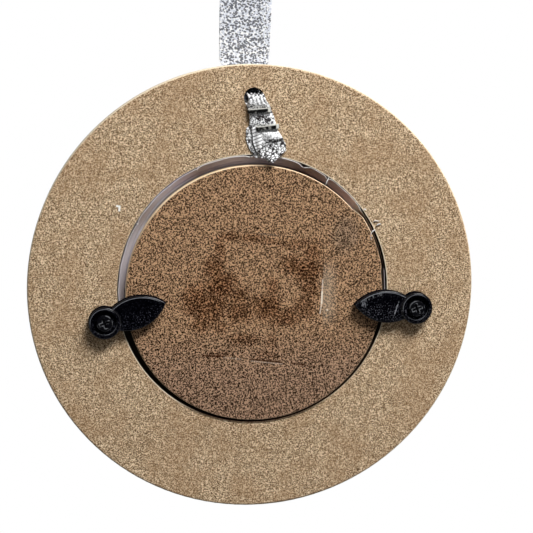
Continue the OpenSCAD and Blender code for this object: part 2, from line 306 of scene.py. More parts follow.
def fibreboard():
    # Fine noise and cells coloured from dark through tan to cream, with warm patches, short fibres and
    # specks. The edge is sawn cream, painted lighter still as a lit edge, the recess and the hole darken with
    # depth as painted shade, and the front has a white coat.
    paint = Paint("fibreboard")
    place = paint.millimetres()
    x, y, z = paint.split(place)
    radius = distance(x, z, (0, 0))
    grain = paint.noise(place, ring["grain"], 1, 0.5, 1.0) * 0.65 + paint.cells(place, 3.5) * 0.36
    patches = paint.noise(place, 0.09, 3, 0.6).rise(0.42, 0.62)
    colour = grainTones(paint, grain, ring, (0.405, 0.485, 0.515, 0.61))
    colour = paint.blend(patches * 0.35, colour, ring["warm"])
    colour = shortFibres(paint, colour, ring, 0.7, 0.45)
    specks = paint.noise(place, 2.3, 1, 0.4).rise(0.67, 0.71)
    colour = paint.blend(specks * 0.75, colour, ring["speck"])
    # the outer wall is pale sawn fibre, painted lighter still as a lit edge
    wall = radius.rise(disc["ringRadius"] - 0.3, disc["ringRadius"] - 0.12)
    saw = paint.noise(paint.millimetres((0, 0, 0), (3, 0.5, 3)), 1.5, 2)
    sawnAndLit = paint.blend(saw.rise(0.3, 0.7) * 0.3, ring["sawnAndLit"], ring["mid"])
    colour = paint.blend(wall, colour, sawnAndLit)
    recess = radius.rise(disc["recessRadius"] + 0.25, disc["recessRadius"] + 0.05)
    # the recess's edge has a painted highlight, a cream line that is faint at the upper left and lower right,
    # and is dark where the disc lies close
    faint = (x.rise(-10, -14) * z.rise(-6, -3)).high(z.rise(-8, -16) * x.rise(2, 10))
    bottom = z.rise(-24, -29)
    colour = paint.blend(recess * (1 - 0.7 * faint) * (1 - bottom), colour, ring["sawnAndLit"])
    colour = paint.blend(radius.rise(31.3, 31.0) * bottom * 0.8, colour, ring["gap"])
    # painted shade: the recess wall grows dark with depth
    colour = paint.blend(recess * y.rise(0.1, 0.35) * 0.95, colour, ring["gap"])
    # painted shade: the ribbon hole's wall grows dark with depth
    hole = distance(x, z, (0, disc["holeHeight"])).rise(disc["holeRadius"] + 0.12, disc["holeRadius"])
    colour = paint.blend(hole * y.rise(0.05, 0.3) * 0.97, colour, ring["hole"])
    for start, end in ring["fleck"]:  # a white crumb stuck to the board
        crumb = lineGap(x, z, start, end).rise(0.26, 0.2)
        colour = paint.blend(crumb * y.rise(0.1, 0), colour, ring["crumb"])
    coatStart = disc["ringThickness"] - ring["coatDepth"]
    coat = y.rise(coatStart - 0.15, coatStart + 0.15) * (1 - hole)
    coat = coat * (radius - disc["recessRadius"] + ring["lip"]).rise(-0.1, 0.1)
    colour = paint.blend(coat, colour, ring["coat"])
    height = (grain - specks * 1.5) * (1 - coat)
    return paint.finish(Base_Color=colour, Roughness=0.9, Specular_IOR_Level=0.02, Coat_Weight=coat,
                        Coat_Roughness=0.3, Normal=paint.bump(height, 0.00005, 0.7))


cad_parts["frame_ring"].data.materials.clear()
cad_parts["frame_ring"].data.materials.append(fibreboard())
print("ring finished")

# Stained hardboard backing
backing = {"mid": tone(108, 78, 55), "dark": tone(8, 1, 0), "light": tone(202, 163, 126),
           "stain": tone(214, 166, 120), "line": tone(52, 26, 10), "scratch": tone(250, 240, 222),
           "pale": tone(196, 184, 164), "edge": tone(252, 228, 190), "lowShade": tone(204, 200, 206),
           "lowLight": tone(198, 164, 138), "greyed": tone(206, 216, 232), "grain": 5.6, "fibre": 1.7,
           "radius": 29.35, "middle": (0.37, -0.98), "fullMiddle": (14.54, 5.78), "fullRadius": 14.88,
           "fullReach": 29.88}
# soaked spots: middle, half width, half height and strength
stains = [(-13.0, -2.2, 3.2, 4.0, 0.8), (-9.8, -3.6, 4.0, 4.2, 0.8), (-12.0, -7.4, 2.3, 2.4, 0.65),
          (-7.4, 1.2, 3.9, 3.4, 0.9), (-8.9, 4.8, 2.6, 3.2, 0.75), (-3.5, -1.4, 2.6, 2.4, 0.65),
          (-3.2, -4.8, 3.2, 2.8, 0.7), (-7.6, 9.4, 1.3, 3.2, 0.55), (-5.4, 12.4, 2.6, 1.1, 0.65),
          (-0.8, 12.0, 3.2, 0.9, 0.6), (3.2, 11.2, 3.2, 0.8, 0.45), (9.2, 5.6, 3.2, 2.3, 0.75),
          (12.4, 4.4, 3.2, 3.3, 0.85), (13.6, 8.6, 2.2, 2.9, 0.65), (9.6, 10.4, 4.2, 1.4, 0.45),
          (12.8, 0.2, 2.3, 3.2, 0.65), (11.7, -4.0, 2.5, 3.0, 0.6), (4.2, 0.6, 1.8, 2.2, 0.6),
          (3.4, -4.0, 3.3, 3.2, 0.85), (7.2, -6.4, 3.9, 2.1, 0.7), (-7.8, -8.4, 2.2, 1.6, 0.5),
          (-2.2, -11.4, 3.6, 1.5, 0.65), (-8.0, -14.8, 3.4, 0.8, 0.55), (3.2, -15.2, 3.0, 1.2, 0.55),
          (4.2, -12.2, 1.5, 2.2, 0.45), (0.4, -3.0, 2.2, 2.4, 0.5)]
# pressed and scratched lines: start, end, half width and strength
darkLines = [((-11.7, -14.94), (-6.8, -15.16), 0.16, 0.85), ((-0.7, -16.01), (6.4, -16.89), 0.2, 0.85),
             ((8.7, -17.06), (12.1, -17.62), 0.16, 0.8), ((-2.4, 13.31), (5.7, 12.4), 0.1, 0.65),
             ((16.7, 10.76), (15.1, 9.84), 0.12, 0.6), ((16.0, 7.7), (15.7, 1.5), 0.08, 0.6)]
paleLines = [((-6.8, -15.45), (-2.8, -15.9), 0.1, 0.15), ((-0.5, -16.42), (6.6, -17.25), 0.09, 0.2),
             ((1.1, 12.95), (5.5, 12.57), 0.07, 0.08), ((15.85, 2.2), (15.74, -1.0), 0.1, 0.55),
             ((15.74, -0.6), (15.66, -3.2), 0.17, 0.9), ((15.66, -3.2), (15.3, -5.6), 0.09, 0.6),
             ((16.9, -4.81), (17.0, -4.83), 0.14, 0.8)]


def hardboard():
    # Fine noise and cells, shifted to the dark side in soaked spots and stronger towards the bottom. A paler
    # field lies beside the long scratch, and the disc's edge carries a painted highlight as a cream line.
    paint = Paint("stainedHardboard")
    place = paint.millimetres()
    x, y, z = paint.split(place)
    grain = paint.noise(place, backing["grain"], 1, 0.5, 1.0) * 0.6 + paint.cells(place, 3.4) * 0.42
    wander = paint.noise(place, 0.55, 4, 0.7) - 0.5
    soaked = highest([(spotGap(x, z, (spotX, spotZ), reach) + wander * 1.6).rise(1.45, 0.35) * strength
                      for spotX, spotZ, *reach, strength in stains])
    cloudy = paint.noise(place, 0.12, 2, 0.6).rise(0.35, 0.65)
    low = z.rise(-6, -20)
    value = grain + (paint.noise(place, 2.6, 1) - 0.5) * 0.36 - 0.075 * soaked - 0.01 * cloudy
    value = 0.5 + (value - 0.5) * (1 + 0.5 * low) - 0.016 * low
    colour = grainTones(paint, value, backing, (0.454, 0.492, 0.508, 0.56))
    colour = shortFibres(paint, colour, backing, 0.6, 0.4)
    colour = paint.blend(soaked * 0.6, colour, backing["stain"], "MULTIPLY")
    colour = paint.blend(z.rise(-6, -24) * 0.7, colour, backing["lowShade"], "MULTIPLY")
    colour = paint.blend(value.rise(0.51, 0.56) * low * 0.5, colour, backing["lowLight"])
    greyed = (spotGap(x, z, (21, 12.5), (3.4, 4.5)) + wander).rise(1.3, 0.5)
    colour = paint.blend(greyed * 0.7, colour, backing["greyed"], "MULTIPLY")
    field = x.rise(15.7, 16.1) * x.rise(20, 17) * abs(z + 1).rise(9, 3)
    colour = paint.blend(field * 0.25, colour, backing["pale"])
    for lines, shade in ((darkLines, backing["line"]), (paleLines, backing["scratch"])):
        for start, end, width, strength in lines:
            line = lineGap(x, z, start, end).rise(width + 0.12, width * 0.5)
            colour = paint.blend(line * strength, colour, shade)
    # how far each point lies outside the disc, whose rim is a little full on one side
    full = distance(x, z, backing["fullMiddle"]) - backing["fullRadius"]
    full = full.high(distance(x, z, (0, 0)) - backing["fullReach"])
    side = (distance(x, z, backing["middle"]) - backing["radius"]).low(full).rise(-0.16, -0.06)
    dull = (0.6 * z.rise(-4, -10)).high(0.8 * x.rise(26.6, 27.8))  # where the edge shows no cream line
    # painted highlight: the disc's lit edge drawn as a cream line, left off where no light falls on it
    colour = paint.blend(side * (1 - dull), colour, backing["edge"])
    return paint.finish(Base_Color=colour, Roughness=0.9, Specular_IOR_Level=0.02,
                        Normal=paint.bump(grain * (1 - side), 0.00008, 0.8))


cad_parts["backing_disc"].data.materials.clear()
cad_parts["backing_disc"].data.materials.append(hardboard())
print("backing finished")


def gridFaces(rows, columns, closed=False):  # quads between neighbours in a grid, and round it if closed
    steps = columns if closed else columns - 1
    start = (np.arange(rows - 1)[:, None] * columns + np.arange(steps)[None, :]).ravel()
    side = (np.arange(rows - 1)[:, None] * columns + (np.arange(steps)[None, :] + 1) % columns).ravel()
    return np.stack([start, side, side + columns, start + columns], 1)


# The points are in the disc frame, and flat holds each point's place on a pattern.
def addMesh(name, points, faces, flat=None):
    mesh = bpy.data.meshes.new(name)
    points = np.asarray(points, float).reshape(-1, 3) + np.array([0, disc["y"], disc["z"]])
    faces = np.asarray(faces)
    mesh.vertices.add(len(points))
    mesh.vertices.foreach_set("co", (points / 1000).ravel())
    mesh.loops.add(faces.size)
    mesh.loops.foreach_set("vertex_index", faces.ravel())
    mesh.polygons.add(len(faces))
    mesh.polygons.foreach_set("loop_start", np.arange(len(faces)) * faces.shape[1])
    mesh.polygons.foreach_set("use_smooth", np.ones(len(faces), bool))
    mesh.update()
    mesh.validate()
    if flat is not None:
        flat = np.asarray(flat, float).reshape(-1, 2)
        mesh.uv_layers.new(name="flat").data.foreach_set("uv", flat[faces.ravel()].ravel())
    piece = bpy.data.objects.new(name, mesh)
    bpy.context.collection.objects.link(piece)
    return piece


def ease(t):
    t = np.clip(t, 0, 1)
    return t * t * (3 - 2 * t)


def bell(t, middle, reach):  # a smooth bump of height 1
    return np.exp(-((t - middle) / reach) ** 2)


def thicken(piece, thickness, offset=0):
    solid = piece.modifiers.new("thickness", "SOLIDIFY")
    solid.thickness, solid.offset, solid.use_even_offset = thickness / 1000, offset, False


# Glitter ribbon
ribbon = {"width": 11, "cloth": 0.16, "gap": 0.1, "boardGap": 0.1, "thickness": 0.35, "gathered": (3.7, 1.3),
          "tailThickness": 1.15, "holeGap": 0.45, "tailLength": 11.4, "backBend": 1.2, "frontBend": 1.6,
          "loopRise": 61, "loopRadius": 4, "fanRise": 1.2, "lean": -1.6, "shift": 0.45,
          "staples": (2.75, 6.5),
          "left": [[0, -1.5], [1.2, -1.85], [2, -1.6], [2.8, -1.25], [3.7, -1.1], [6.1, -1.05], [6.8, -1.8],
                   [9.2, -1.85], [10.2, -1.5], [11.4, -1]],
          "right": [[0, 2.7], [3.7, 4.2], [7.3, 5.3], [10.1, 7], [11.6, 7.2]],
          "cutEnd": [[-1, 0], [-0.66, 2], [-0.36, 1.6], [0.07, 3], [1, 0.2]], "across": 56,
          # the tail's two layers: 1 next to the ring and -1 over it
          "layers": {1: {"base": 0.16, "puff": 0.10, "pleats": 0.25, "foldIn": 0},
                     -1: {"base": 0.52, "puff": 0.45, "pleats": 1.0, "foldIn": 1.3}}}
legDepth = disc["ringThickness"] + ribbon["boardGap"] + ribbon["thickness"] + ribbon["gap"] / 2


def tailRows(side, across):
    # Down the back from the cut end to the hole: flat, pressed under the staples, puffed up beside them, and
    # folded lengthwise.
    r, layer = ribbon, ribbon["layers"][side]
    drop = np.linspace(r["tailLength"], r["backBend"], 96)[:, None]
    foldedIn = layer["foldIn"] * ease((drop - 5.8) / 1.2)  # at the lower staple
    left = np.interp(drop, *np.array(r["left"]).T) + foldedIn
    right = np.interp(drop, *np.array(r["right"]).T)
    x = (left + right) / 2 + across * (right - left) / 2
    share = ease(1 - (r["tailLength"] - drop) / 3.2)  # the ragged end is drawn out over its last 3.2 mm
    frayed = 0.12 * np.sin(across * 61) + 0.10 * np.sin(across * 97 + 2)
    z = disc["holeHeight"] - drop - share * (np.interp(across, *np.array(r["cutEnd"]).T) + frayed)
    pressed = np.clip(bell(drop, r["staples"][0], 0.65) + bell(drop, r["staples"][1], 0.65), 0, 1)
    below = ease((drop - r["staples"][1] - 0.4) / 1.6)  # where the lower staple no longer holds the folds
    # small pleats on the left, a roll on the right just under the staple and a wave near the cut end
    loose = (0.12 * np.cos(across * 13 + 1.2) * ease((0.15 - across) / 0.5)
             + 0.7 * ease((across + 0.25) / 0.5) * ease((drop - 7.3) / 0.7) * ease((9.5 - drop) / 0.7)
             + 0.55 * bell(across, 0.15, 0.4) * ease((drop - 10.4) / 0.8))
    pleats = 0.03 * np.cos(across * 9 + drop * 0.25) * (1 - below) + below * loose
    lift = layer["base"] + layer["puff"] * (1 - pressed) * (1 - across ** 4)
    lift = lift + np.clip(pleats, -0.22, 1.1) * (1 - 0.75 * pressed) * layer["pleats"]
    lift = lift + (r["holeGap"] - r["gap"]) * ease(1 - (drop - r["backBend"]) / 0.9)
    return np.stack(np.broadcast_arrays(x, -lift, z), -1)


# The columns are each row's middle in x, y and z, its turn, width, thickness and share of folding.
def routePiece(*columns):
    return np.stack(np.broadcast_arrays(*columns), 1)


def routeRows(side, across):
    # From the hole up the front: a quarter bend into the hole, a quarter bend up, a fan to full width, and a
    # straight leg that opens into the loop. Each row is the route's middle, moved along its normal.
    r = ribbon
    holeWidth, holeThickness = r["gathered"]
    tailThickness = (r["tailThickness"] - r["gap"]) / 2
    backY = -(r["holeGap"] + tailThickness + r["gap"] / 2)
    frontY = disc["ringThickness"] + r["boardGap"] + holeThickness + r["gap"] / 2
    bendTop = disc["holeHeight"] + r["frontBend"]
    fanZ, topZ = disc["ringRadius"] + r["fanRise"], disc["holeHeight"] + r["loopRise"]
    a = np.radians(np.linspace(12, 90, 14))  # from the back into the hole
    share = a / (np.pi / 2)
    rows = [routePiece(0.8 - 0.7 * share, backY + r["backBend"] * (1 - np.cos(a)),
                       disc["holeHeight"] - r["backBend"] * (1 - np.sin(a)), a, holeWidth,
                       tailThickness * (1 - share) + holeThickness * share, 1)]
    a = np.radians(np.linspace(90, 0, 16))  # out of the hole and up the front
    rows.append(routePiece(0, frontY - r["frontBend"] * (1 - np.cos(a)),
                           disc["holeHeight"] + r["frontBend"] * (1 - np.sin(a)), a, holeWidth,
                           holeThickness, 1))
    u = np.linspace(0.05, 1, 24)  # the fan
    wide = ease(u)
    thick = holeThickness + (r["thickness"] - holeThickness) * wide
    rows.append(routePiece((r["lean"] + side * r["shift"] / 3) * wide, frontY - holeThickness + thick,
                           bendTop + (fanZ - bendTop) * u, 0, holeWidth + (r["width"] - holeWidth) * wide,
                           thick, 1 - wide))
    u = np.linspace(0.01, 1, 110)  # the leg, which opens below the loop's top
    z = fanZ + (topZ - r["loopRadius"] - fanZ) * u
    up = (z - fanZ) / (topZ - fanZ)
    opening = ease((z - topZ + 5 * r["loopRadius"]) / (4 * r["loopRadius"]))
    lean = r["lean"] * (1 - up) + side * r["shift"] * np.minimum(1, 1 / 3 + 3 * up) * (1 - ease(up))
    rows.append(routePiece(lean, legDepth + side * (r["loopRadius"] - r["gap"] / 2) * opening, z, 0,
                           r["width"], r["thickness"], 0))
    x, y, z, turn, width, thick, folded = np.concatenate(rows).T[:, :, None]
    push = side * (thick + r["gap"]) / 2 * (1 + 0.35 * folded * (turn > 0.7))
    pleat = side * folded * 0.22 * np.cos(across * 14)
    y, z = y + (push + pleat) * np.cos(turn), z - (push + pleat) * np.sin(turn)
    return np.stack(np.broadcast_arrays(x + across * width / 2, y, z), -1)


def crownRows(across):  # half a turn over the hook
    r = ribbon
    a = np.radians(np.linspace(6, 174, 29))[:, None]
    reach = r["loopRadius"] + r["thickness"] / 2
    y = legDepth + reach * np.cos(a)
    z = disc["holeHeight"] + r["loopRise"] - r["loopRadius"] + reach * np.sin(a)
    return np.stack(np.broadcast_arrays(across * r["width"] / 2, y, z), -1)


def softened(points, passes):  # evens out a grid along the ribbon and leaves its two ends in place
    for _ in range(passes):
        points[1:-1] = (points[:-2] + 2 * points[1:-1] + points[2:]) / 4
    return points


def addRibbon():
    across = np.linspace(-1, 1, ribbon["across"])[None, :]
    halves = [np.concatenate([tailRows(side, across), routeRows(side, across)]) for side in (1, -1)]
    points = np.concatenate([halves[0], crownRows(across), halves[1][::-1]])
    tail = len(tailRows(1, across))
    start = tail - 6  # a few rows before the hole
    points[start:-start] = softened(points[start:-start], 6)
    middle = points[:, ribbon["across"] // 2]
    along = np.concatenate([[0], np.cumsum(np.linalg.norm(np.diff(middle, axis=0), axis=1))])
    width = np.linalg.norm(points[:, -1] - points[:, 0], axis=1)[:, None]
    flat = np.stack(np.broadcast_arrays(across * width / 2, along[:, None]), -1)
    piece = addMesh("glitter_ribbon", points, gridFaces(len(points), ribbon["across"]), flat)
    thicken(piece, ribbon["cloth"])
    print("ribbon cut length", round(float(along[-1]), 1), "mm")
    return piece


# pillow, hollow and rows: middle and half size of the tail's smooth folds, folds darkened with painted shade
# and rows of weft
cloth = {"white": tone(214, 218, 228), "bead": tone(255, 255, 255), "gap": tone(44, 46, 56),
         "nearBlackAndShade": tone(16, 6, 10), "line": tone(40, 40, 54),
         "pillow": [((2.6, 35.6), (2.4, 0.95)), ((4.8, 35.2), (1.7, 0.9)), ((0.9, 42.5), (1.5, 1.1)),
                    ((2.6, 42.2), (0.7, 0.8))],
         "shadedHollow": [((4.5, 33.9), (1.3, 0.4)), ((5.8, 34.0), (0.8, 0.3)), ((1.5, 39.0), (1.4, 0.6)),
                    ((3.0, 38.5), (0.8, 0.5))],
         "rows": ((0.45, 34.5), (1.25, 2.7)), "rowTurn": 22, "rowPitch": 0.72,
         "fold": [((-1.0, 36.7), (-0.5, 35.1)), ((-0.5, 35.1), (-0.45, 33.4)), ((-0.45, 33.4), (0.6, 30.6))]}


def zone(x, z, spots, uneven):  # 1 inside any of some oval spots
    return highest([(spotGap(x, z, middle, reach) + uneven).rise(1.15, 0.8) for middle, reach in spots])


def glitterCloth():
    # Silver flakes with dark dots in the gaps between them; their white flecks are partly painted glints. The
    # stapled tail's folds show larger beads, smooth white pillows, hollows darkened with painted shade and
    # one fold of slanted weft rows.
    paint = Paint("silverGlitterCloth")
    flat = paint.add("ShaderNodeUVMap", {"uv_map": "flat"})
    place = paint.millimetres()
    x, y, z = paint.split(place)
    onTail = y.rise(0.4, -0.1)
    uneven = paint.noise(flat, 2.1, 1) - 0.5
    wide = paint.noise(flat, 0.5, 1) - 0.5
    u = paint.split(flat)[0]
    spread = paint.add("ShaderNodeMapping", None, {"Vector": flat, "Scale": (0.9, 1.2, 1)})
    reach = 0.56 + uneven * 0.55 + wide * 0.25 - abs(u).rise(3.6, 5.3) * 0.1  # of a dark dot from its middle
    dots = (reach - paint.cells(spread, 2.1, 0.9)).rise(0, 0.08)
    # white flecks: the flakes' own white with painted glints on them
    shine = paint.noise(flat, 1.6, 1).rise(0.5, 0.56)
    upper = paint.blend(shine * 0.8, cloth["white"], cloth["bead"])
    upper = paint.blend(dots * 0.85, upper, cloth["gap"])
    smooth, shadedHollow = [zone(x, z, cloth[kind], uneven * 0.8) for kind in ("pillow", "shadedHollow")]
    middle, half = cloth["rows"]
    rows = spotGap(x, z, middle, half).rise(1.1, 0.95)
    turn = math.radians(cloth["rowTurn"])
    across = (z - middle[1]) * math.cos(turn) - (x - middle[0]) * math.sin(turn) + uneven * 0.25
    weft = (across * (2 * math.pi / cloth["rowPitch"])).math("SINE").rise(-0.35, -0.85)
    facing = paint.millimetres((0, 0, 0), (1, 0.01, 1))
    low = z.rise(34.6, 33.6).high(x.rise(-0.3, -0.7) * z.rise(37.5, 36.8))
    beads = (paint.cells(facing, 1.5, 0.8, "DISTANCE_TO_EDGE") + uneven * 0.3).rise(0.15, 0.05)
    lines = paint.cells(facing, 2.1, 0.9, "DISTANCE_TO_EDGE") + uneven * 0.6 - 0.1 * shadedHollow
    lines = lines.rise(0.11, 0.03)
    grain = (lines + (beads - lines) * low) * (1 - smooth * 0.35) * (1 - rows)
    grain = grain.high(rows * weft * 0.8).high(shadedHollow * (paint.noise(facing, 2.4, 1).rise(0.45, 0.52)))
    for start, end in cloth["fold"]:
        grain = grain.high(lineGap(x, z, start, end).rise(0.2, 0.1) * 0.9)
    # the tail's lines are near black in its lower part and in the hollows, where that dark is painted shade
    tail = paint.blend(grain, cloth["bead"], paint.blend(low.high(shadedHollow), cloth["line"], cloth["nearBlackAndShade"]))
    colour = paint.blend(onTail, upper, tail)
    # painted shade: the ribbon goes near black inside the hole
    holeShade = distance(x, z, (0, disc["holeHeight"])).rise(2.9, 2.6) * y.rise(0.1, 0.5) * y.rise(6.3, 5)
    colour = paint.blend(holeShade * 0.95, colour, cloth["nearBlackAndShade"])
    return paint.finish(Base_Color=colour, Roughness=0.45, Specular_IOR_Level=0.3,
                        Normal=paint.bump(0 - (dots + (grain - dots) * onTail), 0.00012, 0.6))


ribbonPiece = addRibbon()
ribbonPiece.data.materials.append(glitterCloth())
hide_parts("hanging_ribbon")
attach(ribbonPiece, "frame")


# Window film
film = {"flatRadius": 29.1, "bend": 1.6, "thickness": 0.15, "flatDepth": 3.6, "rimDrop": 0.1, "slit": 0.22,
        "rows": 24, "haze": (27.6, 27.9), "cut": tone(244, 240, 236), "shade": tone(20, 10, 8),
        "floor": tone(26, 10, 8),
        # each flap's two ends in degrees round the rim, its lean and how far it is short
        "flaps": [(-3, 8.7, 0.25, 0.3), (8.7, 17.2, 0.1, 1.1), (17.2, 24.4, 0.2, 1.1), (24.4, 36.2, 0.2, 0.7),
                  (36.2, 56.6, 0, 0), (56.6, 68.1, 0, 0), (68.1, 91.5, 0, -0.1), (91.5, 114.4, 0, -0.1),
                  (114.4, 149.7, 0.1, 0), (149.7, 187, 0.14, 0.05)],
        # where the cut edge curls in: direction, reach in degrees and depth
        "nicks": [(36.8, 0.7, 0.2), (56.6, 1.1, 0.45), (68.1, 2.0, 0.6), (91.7, 1.3, 0.35), (114.4, 0.8, 0.2),
                  (149.5, 0.8, 0.35)],
        # slivers of cut film and fibre on the rim: points on the back, width
        "slivers": [([(26.7, 12.4), (27.0, 13.1), (27.4, 13.45), (28.0, 13.6)], 0.24),
                    ([(26.72, 12.4), (26.95, 11.2)], 0.12),
                    ([(28.0, 14.5), (28.5, 14.9), (29.1, 14.95)], 0.24),
                    ([(27.3, 15.5), (28.0, 15.7), (28.7, 15.5)], 0.2),
                    ([(24.8, 18.0), (25.2, 18.25), (25.7, 18.3)], 0.2),
                    ([(25.2, 18.6), (25.5, 18.3)], 0.14),
                    ([(17.0, 25.7), (16.6, 24.9), (16.2, 23.9)], 0.22),
                    ([(-12.5, 28.3), (-12.6, 27.8), (-12.7, 27.2)], 0.2),
                    ([(-26.4, 15.6), (-26.1, 15.5), (-25.9, 15.5)], 0.26)]}
# degrees round the rim and the film's colour there, with the light and shade that fall on the rim painted in
filmLitAndShadedTones = [(-3, tone(176, 170, 176)), (8, tone(160, 152, 156)), (9.5, tone(56, 32, 28)),
             (20, tone(206, 176, 160)), (34, tone(180, 146, 132)), (36.6, tone(255, 250, 248)),
             (39, tone(255, 242, 250)), (44, tone(222, 200, 206)), (66, tone(158, 136, 130)),
             (92, tone(230, 224, 238)), (114, tone(188, 171, 173)), (124, tone(214, 208, 233)),
             (136, tone(226, 226, 249)), (146, tone(199, 189, 193)), (151, tone(198, 192, 198)),
             (187, tone(195, 190, 196))]
# degrees round the rim and how much the film shines there
filmGloss = [(-3, 0), (36, 0), (38, 0.34), (50, 0.15), (66, 0.13), (90, 0.5), (104, 0.5), (114, 0.38),
             (128, 1), (145, 0.85), (160, 0.58), (175, 0.04), (187, 0.04)]


def flapGrid(start, end, lean, short):
    # Up the flap from the flat film: a quarter bend, then straight to the cut edge, which waves a little,
    # curls in at the nicks and leans in by its own amount. The slits beside it close towards the bend.
    f = film
    up = np.linspace(0, 1, f["rows"])[:, None]
    bent, straight = np.minimum(up / 0.6, 1), np.clip((up - 0.6) / 0.4, 0, 1)
    middle, half = (start + end) / 2, (end - start) / 2 - f["slit"] * straight
    angle = middle + half * np.linspace(-1, 1, max(16, int((end - start) * 5)))[None, :]
    radius = f["bend"] - f["thickness"] / 2
    nick = sum(depth * bell(angle, place, reach) for place, reach, depth in f["nicks"])
    top = f["rimDrop"] + short + 0.3 * nick + 0.03 * np.sin(angle * 1.7) + 0.02 * np.sin(angle * 4.1)
    turn = bent * np.pi / 2
    bendDepth = f["flatDepth"] + f["thickness"] - f["bend"]
    inward = (lean + 0.04 * (1 + np.sin(angle * 0.55))) * straight + nick * ease(up * 1.4 - 0.4)
    r = f["flatRadius"] + radius * np.sin(turn) - inward
    y = bendDepth + radius * np.cos(turn) + (top - bendDepth) * straight
    a = np.radians(angle)
    points = np.stack(np.broadcast_arrays(r * np.cos(a), y, r * np.sin(a)), -1)
    return points, np.stack(np.broadcast_arrays(angle, up), -1)


def sliverGrid(corners, width):  # a curved strip just off the back, pointed at both ends
    corners = np.array(corners, float)
    share = np.linspace(0, 1, 12)
    line = np.stack([np.interp(share, np.linspace(0, 1, len(corners)), c) for c in corners.T], 1)
    along = np.gradient(line, axis=0)
    along /= np.linalg.norm(along, axis=1)[:, None]
    half = (width / 2 * (1 - 0.8 * (2 * share - 1) ** 2))[:, None, None] * np.array([-1, 0, 1])[None, :, None]
    flat = line[:, None] + np.stack([-along[:, 1], along[:, 0]], 1)[:, None] * half
    depth = -0.14 - 0.12 * np.sin(np.pi * share)[:, None] + 0 * flat[..., 0]
    cutEdge = np.stack([np.full_like(depth, 37), np.ones_like(depth)], -1)  # coloured as the rim's cut edge
    return np.stack([flat[..., 0], depth, flat[..., 1]], -1), cutEdge


def flatGrid(steps=48):  # the film's flat disc, as a square grid whose edge is drawn out to a circle
    u, v = np.meshgrid(np.linspace(-1, 1, steps), np.linspace(-1, 1, steps))
    x, z = u * np.sqrt(1 - v * v / 2), v * np.sqrt(1 - u * u / 2)
    depth = np.full_like(x, film["flatDepth"] + film["thickness"] / 2)
    points = np.stack([x * film["flatRadius"], depth, z * film["flatRadius"]], -1)
    return points, np.stack([np.degrees(np.arctan2(z, x)), np.full_like(x, -1)], -1)


def addFilm():
    grids = [flatGrid()] + [flapGrid(*flap) for flap in film["flaps"]]
    grids += [sliverGrid(*sliver) for sliver in film["slivers"]]
    points, faces, flat, count = [], [], [], 0
    for place, pattern in grids:
        rows, columns = place.shape[:2]
        faces.append(gridFaces(rows, columns) + count)
        points.append(place.reshape(-1, 3))
        flat.append(pattern.reshape(-1, 2))
        count += rows * columns
    piece = addMesh("cut_window_film", np.concatenate(points), np.concatenate(faces), np.concatenate(flat))
    thicken(piece, film["thickness"])
    return piece


def roundRim(paint, angle, stops):  # a colour ramp whose stops are in degrees
    first, reach = stops[0][0], stops[-1][0] - stops[0][0]
    return paint.ramp((angle - first) / reach, [((a - first) / reach, colour) for a, colour in stops])


def clearFilm():
    # Clear over the card, and milky where it is bent up: its colour, which carries painted light and shade,
    # and its gloss change round the rim, its cut edge has a painted highlight, and a painted shadow lies
    # beside the disc.
    paint = Paint("clearFilm")
    angle, up, _ = paint.split(paint.add("ShaderNodeUVMap", {"uv_map": "flat"}))
    # below the flaps the flat film is painted near black, as painted shade in the deep gap under the disc
    colour = paint.blend(angle.rise(-3.2, -4), roundRim(paint, angle, filmLitAndShadedTones), film["floor"])
    # painted highlight on the cut edge, strongest on the upper rim
    bright = 0.15 + 0.8 * angle.rise(122, 112) * angle.rise(30, 38)
    colour = paint.blend(up.rise(0.975, 0.99) * bright, colour, film["cut"])
    place = paint.millimetres()
    x, y, z = paint.split(place)
    toDisc = distance(x, z, backing["middle"]) - backing["radius"]
    shade = toDisc.rise(0.5, 0.15) * angle.rise(36, 44) * angle.rise(153, 143)
    colour = paint.blend(shade * 0.75, colour, film["shade"])
    haze = distance(x, z, (0, 0)).rise(*film["haze"])
    gloss = roundRim(paint, angle, [(a, grey(level)) for a, level in filmGloss]) * haze * angle.rise(-4, -3)
    return paint.finish(Base_Color=colour, Roughness=0.5, Specular_IOR_Level=0.06, Alpha=0.12 + 0.8 * haze,
                        Coat_Weight=gloss, Coat_Roughness=0.4, Coat_IOR=2.8,
                        Normal=paint.bump(paint.noise(place, 0.25, 1), 0.0004, 0.3))


filmPiece = addFilm()
filmPiece.data.materials.append(clearFilm())
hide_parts("window_film")
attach(filmPiece, "frame")
print("film finished")


# Turn buttons and their screws
button = {"pivots": {"left": (-33.67, -6.545), "right": (37.343, -4.387)},
          "points": {"left": 17.6, "right": 176.2},
          "plastic": tone(2, 2, 5), "grain": {"left": tone(66, 66, 76), "right": tone(98, 98, 106)},
          "scuff": tone(128, 130, 136), "paintedEdgeHighlight": tone(160, 162, 168),
          "headTop": 2.7, "headRadius": 3.65, "dishRadius": 2.85, "bladeTop": 2.3, "bladeHalf": 3.75,
          "bladeLength": 14.4, "bladeBack": 0.7, "edgeLine": 0.42}
screw = {"radius": 1.85, "slotTurn": 20, "slotHalf": 0.36, "slotEnd": 1.2,
         "steel": tone(3, 3, 6), "wearAndGlint": tone(150, 152, 156)}


def turned(x, z, middle, degrees):  # how far each point lies along and beside a direction from a place
    turn = math.radians(degrees)
    along = (x - middle[0]) * math.cos(turn) + (z - middle[1]) * math.sin(turn)
    beside = (z - middle[1]) * math.cos(turn) - (x - middle[0]) * math.sin(turn)
    return along, beside


